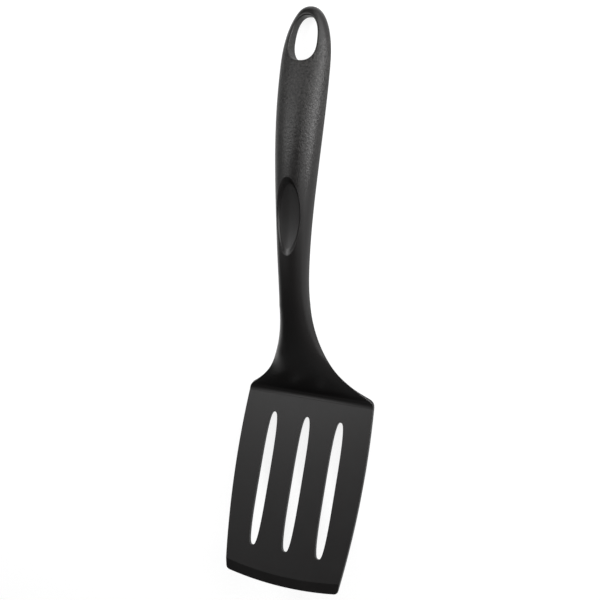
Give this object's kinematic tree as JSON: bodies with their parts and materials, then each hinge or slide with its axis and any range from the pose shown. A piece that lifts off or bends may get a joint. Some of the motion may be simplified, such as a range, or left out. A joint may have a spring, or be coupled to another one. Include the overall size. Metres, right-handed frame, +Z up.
{
  "type": "slotted turner",
  "caption": "One-piece black nylon kitchen turner: slotted blade with a bevelled front lip, raised curved handle with a thumb rest, and a hanging eye.",
  "frame": {"origin": "on the surface that the turner lies on, under the middle of its overall length and width", "axes": "+X across the blade, +Y from the blade's front edge to the handle's tip, +Z up as it lies on a table on its heel and the end of its handle"},
  "size_m": [0.08, 0.3162, 0.04],
  "materials": {
    "blade_nylon": "black nylon, fine satin",
    "smooth_nylon": "black nylon, smooth and dark",
    "grip_nylon": "black nylon, finely spark-eroded grain"
  },
  "bodies": {
    "root": {"blade": "blade_nylon", "blade_lip": "blade_nylon", "heel": "smooth_nylon", "shoulder": "smooth_nylon", "neck": "smooth_nylon", "thumb_rest": "grip_nylon", "grip": "grip_nylon", "hanging_eye": "grip_nylon"}
  },
  "joints": []
}
